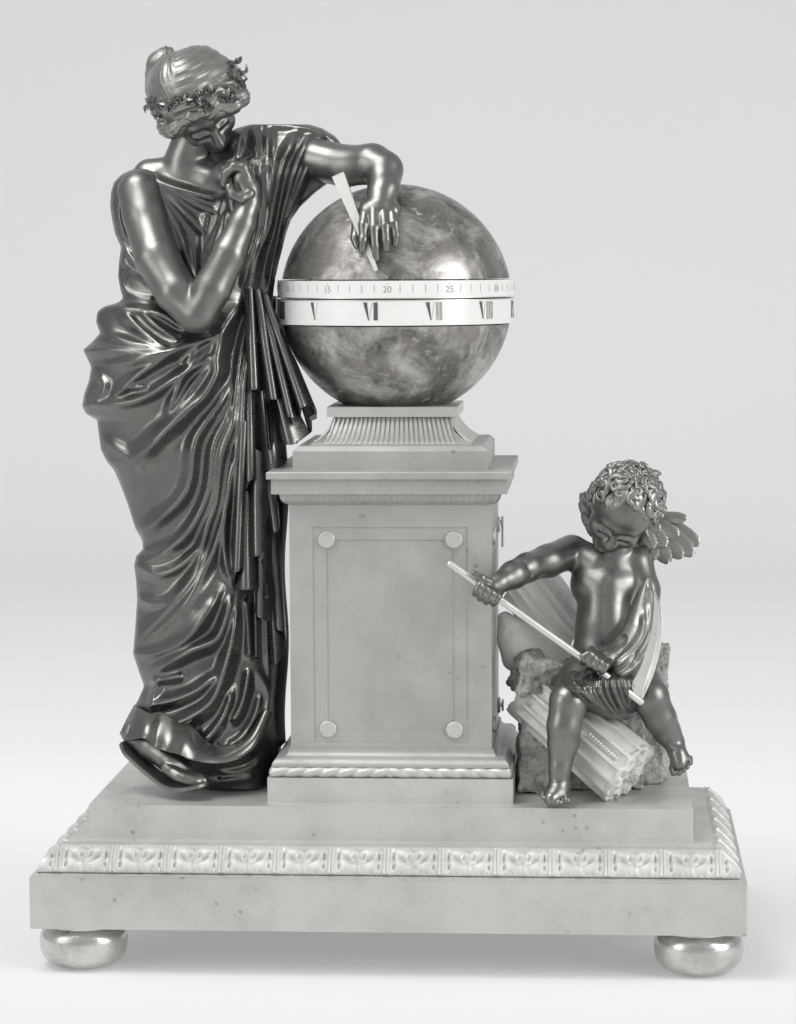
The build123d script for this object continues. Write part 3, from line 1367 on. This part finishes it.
figure_stud_bottom = step_top - plinth_wall - nut_reach
above_step = slab_between(plinth_width, plinth_depth, step_top, globe_centre_height + 4 * globe_radius)
with BuildPart() as globe_space:
    with Locations((0, 0, globe_centre_height)):
        Sphere(globe_radius + figure_gap)
    with BuildSketch(Plane.XY.offset(lower_shell_top - figure_gap)):
        Circle(ring_radius + figure_gap)
    extrude(amount=upper_shell_bottom - lower_shell_top + 2 * figure_gap)
with BuildPart() as pedestal_space:
    add(slab_between(cornice_width + 2 * figure_gap, cornice_width + 2 * figure_gap,
                     die_top - figure_gap, cornice_top + figure_gap))
    add(slab_between(attic_width + 2 * figure_gap, attic_width + 2 * figure_gap,
                     cornice_top, attic_top + figure_gap))
    add(slab_between(stand_foot_width + 2 * figure_gap, stand_foot_width + 2 * figure_gap,
                     attic_top, stand_top + figure_gap))
    add(slab_between(socle_width + 2 * figure_gap, socle_width + 2 * figure_gap, step_top, die_bottom))

with BuildPart() as woman_dress:
    add(folded_body(placed(dress_shares, woman_origin, woman_height), dress_folds, dress_fold_share))
    add(pedestal_space.part, mode=Mode.SUBTRACT)
    add(upright_rods(woman_stud_places, stud_radius, figure_stud_bottom, step_top + plinth_wall))
keep(woman_dress, "woman_dress")

with BuildPart() as woman_mantle:
    add(folded_body(placed(mantle_shares, woman_origin, woman_height), mantle_folds, mantle_fold_share))
    add(woman_dress.part, mode=Mode.SUBTRACT)
    add(globe_space.part, mode=Mode.SUBTRACT)
    add(pedestal_space.part, mode=Mode.SUBTRACT)
keep(woman_mantle, "woman_mantle")

with BuildPart() as woman_head:
    add(limb(placed(neck_shares, woman_origin, woman_height)))
    for x, y, z, radius in placed(skull_shares, woman_origin, woman_height):
        with Locations((x, y, z)):
            Sphere(radius)
    add(woman_dress.part, mode=Mode.SUBTRACT)
    add(woman_mantle.part, mode=Mode.SUBTRACT)
keep(woman_head, "woman_head")

stylus_ends = placed(stylus_shares, woman_origin, woman_height)
stylus_run = Vector(*stylus_ends[1]) - Vector(*stylus_ends[0])
stylus_plane = Plane(origin=stylus_ends[0], z_dir=stylus_run)
with BuildPart() as stylus:
    with BuildSketch(stylus_plane):
        Rectangle(stylus_top_width, stylus_top_width)
    with BuildSketch(stylus_plane.offset(stylus_run.length)):
        Rectangle(stylus_tip_width, stylus_tip_width)
    loft(ruled=True)
    add(globe_space.part, mode=Mode.SUBTRACT)
keep(stylus, "stylus")

with BuildPart() as woman_arms:
    add(limb(placed(right_arm_shares, woman_origin, woman_height)))
    add(limb(placed(left_arm_shares, woman_origin, woman_height)))
    for neighbour in (woman_dress, woman_mantle, woman_head, stylus, globe_space):
        add(neighbour.part, mode=Mode.SUBTRACT)
    for crumb in woman_arms.solids().sort_by(SortBy.VOLUME)[:-2]:
        add(crumb, mode=Mode.SUBTRACT)
keep(woman_arms, "woman_arms")

with BuildPart() as sandalled_foot:
    add(limb(placed(sandal_shares, woman_origin, woman_height)))
    add(above_step, mode=Mode.INTERSECT)
    add(woman_dress.part, mode=Mode.SUBTRACT)
keep(sandalled_foot, "sandalled_foot")

# Masonry: rows in shares of the putto's height from the place where it stands
column_shares = [(-0.222, 0.022, 0.311), (0.065, -0.196, 0.102)]
drum_shares = [(-0.230, 0.174, 0.546, 0.148), (0.009, 0.174, 0.285, 0.096)]
front_rock_shares = ((-0.270, -0.110, 0.000), (-0.178, 0.060, 0.241))
rear_rock_shares = ((0.009, 0.174, 0.000), (0.204, 0.348, 0.411))

front_low, front_high = placed(front_rock_shares, putto_origin, putto_height)
rear_low, rear_high = placed(rear_rock_shares, putto_origin, putto_height)
with BuildPart() as front_rock:
    add(box_between(front_low, front_high))
    fillet(front_rock.edges(), rock_round)
with BuildPart() as rear_rock:
    add(box_between(rear_low, rear_high))
    fillet(rear_rock.edges(), rock_round)

column_ends = placed(column_shares, putto_origin, putto_height)
column_run = Vector(*column_ends[1]) - Vector(*column_ends[0])
column_plane = Plane(origin=column_ends[0], z_dir=column_run)
with BuildPart() as column_fragment:
    with BuildSketch(column_plane):
        Circle(column_radius)
        with PolarLocations(column_radius, column_flutes):
            Circle(column_flute_radius, mode=Mode.SUBTRACT)
    extrude(amount=column_run.length)
    add(above_step, mode=Mode.INTERSECT)
    add(pedestal_space.part, mode=Mode.SUBTRACT)
    add(upright_rods(stone_stud_places[:1], stud_radius, figure_stud_bottom, step_top + 2 * plinth_wall))
keep(column_fragment, "column_fragment")

with BuildPart() as stone_blocks:
    add(front_rock.part)
    add(rear_rock.part)
    add(upright_rods(stone_stud_places[1:], stud_radius, figure_stud_bottom, step_top + 2 * plinth_wall))
    add(column_fragment.part, mode=Mode.SUBTRACT)
keep(stone_blocks, "stone_blocks")

drum_ends = placed(drum_shares, putto_origin, putto_height)
drum_run = Vector(*drum_ends[1][:3]) - Vector(*drum_ends[0][:3])
drum_plane = Plane(origin=drum_ends[0][:3], z_dir=drum_run)
with BuildPart() as fluted_drum:
    for reach, radius in ((0, drum_ends[0][3]), (drum_run.length, drum_ends[1][3])):
        with BuildSketch(drum_plane.offset(reach)):
            Circle(radius)
            with PolarLocations(radius, drum_flutes):
                Circle(drum_flute_share * radius, mode=Mode.SUBTRACT)
    loft(ruled=True)
    add(stone_blocks.part, mode=Mode.SUBTRACT)
    add(column_fragment.part, mode=Mode.SUBTRACT)
keep(fluted_drum, "fluted_drum")

# Putto: rows as for the woman, in shares of its own height
torso_shares = [
    (-0.026, 0.035, 0.341, 0.117, 0.096), (-0.030, 0.022, 0.415, 0.122, 0.096),
    (-0.022, 0.009, 0.524, 0.113, 0.087), (-0.004, 0.000, 0.633, 0.126, 0.083),
    (0.004, -0.009, 0.720, 0.122, 0.070), (0.013, -0.017, 0.776, 0.052, 0.048),
]
putto_skull_shares = [(0.043, -0.035, 0.880, 0.120), (0.017, -0.087, 0.793, 0.087)]
putto_right_arm_shares = [
    (-0.104, -0.035, 0.759, 0.043), (-0.191, -0.096, 0.707, 0.041), (-0.278, -0.157, 0.663, 0.039),
    (-0.330, -0.200, 0.633, 0.030), (-0.357, -0.217, 0.611, 0.035),
]
putto_left_arm_shares = [
    (0.109, -0.017, 0.724, 0.043), (0.130, -0.026, 0.611, 0.041), (0.109, -0.070, 0.480, 0.039),
    (0.030, -0.157, 0.420, 0.035), (-0.035, -0.209, 0.389, 0.035),
]
putto_right_leg_shares = [
    (-0.057, -0.035, 0.376, 0.070), (-0.104, -0.174, 0.337, 0.065), (-0.122, -0.243, 0.298, 0.057),
    (-0.130, -0.243, 0.176, 0.048), (-0.148, -0.217, 0.067, 0.033), (-0.148, -0.209, 0.041, 0.035),
    (-0.157, -0.270, 0.031, 0.030),
]
putto_left_leg_shares = [
    (0.043, 0.000, 0.372, 0.070), (0.139, -0.035, 0.359, 0.063), (0.183, -0.026, 0.298, 0.052),
    (0.209, 0.000, 0.176, 0.039), (0.217, 0.017, 0.115, 0.033), (0.222, 0.009, 0.098, 0.033),
    (0.239, -0.035, 0.046, 0.026),
]
cloth_shares = [
    (-0.020, -0.070, 0.260, 0.105, 0.075), (-0.020, -0.050, 0.310, 0.135, 0.115),
    (-0.020, -0.020, 0.370, 0.150, 0.125), (-0.022, 0.000, 0.430, 0.140, 0.110),
]
near_wing_shares = [
    (0.050, 0.640), (0.180, 0.665), (0.265, 0.720), (0.275, 0.800), (0.200, 0.830), (0.060, 0.770),
]
far_wing_shares = [
    (-0.040, 0.640), (0.040, 0.780), (-0.010, 0.870), (-0.074, 0.902), (-0.120, 0.850), (-0.100, 0.740),
]
pole_shares = [(-0.461, -0.252, 0.715, 0.0104), (-0.070, -0.239, 0.433, 0.0104), (0.096, -0.226, 0.307, 0.0104)]
blade_outer_shares = [(0.096, 0.285), (0.150, 0.370), (0.180, 0.480), (0.157, 0.624)]
blade_inner_shares = [(0.157, 0.624), (0.145, 0.490), (0.115, 0.400), (0.070, 0.330)]

with BuildPart() as putto_torso:
    add(lofted_body(placed(torso_shares, putto_origin, putto_height)))
    for neighbour in (column_fragment, stone_blocks, fluted_drum):
        add(neighbour.part, mode=Mode.SUBTRACT)
keep(putto_torso, "putto_torso")

with BuildPart() as putto_head:
    for x, y, z, radius in placed(putto_skull_shares, putto_origin, putto_height):
        with Locations((x, y, z)):
            Sphere(radius)
    add(putto_torso.part, mode=Mode.SUBTRACT)
keep(putto_head, "putto_head")

with BuildPart() as scythe_pole:
    add(limb(placed(pole_shares, putto_origin, putto_height)))
keep(scythe_pole, "scythe_pole")

pole_end = placed(pole_shares, putto_origin, putto_height)[-1]
blade_plane = Plane(origin=(putto_x, pole_end[1] + blade_thickness / 2, step_top),
                    x_dir=(1, 0, 0), z_dir=(0, -1, 0))
blade_outer = [(x * putto_height, z * putto_height) for x, z in blade_outer_shares]
blade_inner = [(x * putto_height, z * putto_height) for x, z in blade_inner_shares]
with BuildPart() as scythe_blade:
    with BuildSketch(blade_plane):
        with BuildLine():
            Spline(*blade_outer)
            Spline(*blade_inner)
            Line(blade_inner[-1], blade_outer[0])
        make_face()
    extrude(amount=blade_thickness)
    add(scythe_pole.part, mode=Mode.SUBTRACT)
keep(scythe_blade, "scythe_blade")

limb_neighbours = (putto_torso, putto_head, scythe_pole, scythe_blade, column_fragment, stone_blocks, fluted_drum)
with BuildPart() as putto_limbs:
    for rows in (putto_right_arm_shares, putto_left_arm_shares, putto_right_leg_shares, putto_left_leg_shares):
        add(limb(placed(rows, putto_origin, putto_height)))
    add(above_step, mode=Mode.INTERSECT)
    for neighbour in limb_neighbours:
        add(neighbour.part, mode=Mode.SUBTRACT)
    add(pedestal_space.part, mode=Mode.SUBTRACT)
keep(putto_limbs, "putto_limbs")

with BuildPart() as putto_cloth:
    add(folded_body(placed(cloth_shares, putto_origin, putto_height), cloth_folds, cloth_fold_share))
    for neighbour in (putto_limbs,) + limb_neighbours:
        add(neighbour.part, mode=Mode.SUBTRACT)
    for crumb in putto_cloth.solids().sort_by(SortBy.VOLUME)[:-1]:
        add(crumb, mode=Mode.SUBTRACT)
keep(putto_cloth, "putto_cloth")

wing_plane = Plane(origin=(putto_x, putto_y + wing_setback, step_top), x_dir=(1, 0, 0), z_dir=(0, -1, 0))
with BuildPart() as putto_wings:
    for outline_shares in (near_wing_shares, far_wing_shares):
        with BuildSketch(wing_plane):
            with BuildLine():
                Spline(*[(x * putto_height, z * putto_height) for x, z in outline_shares], periodic=True)
            make_face()
        extrude(amount=wing_thickness)
    for neighbour in (putto_torso, putto_head, putto_limbs, putto_cloth, fluted_drum):
        add(neighbour.part, mode=Mode.SUBTRACT)
keep(putto_wings, "putto_wings")
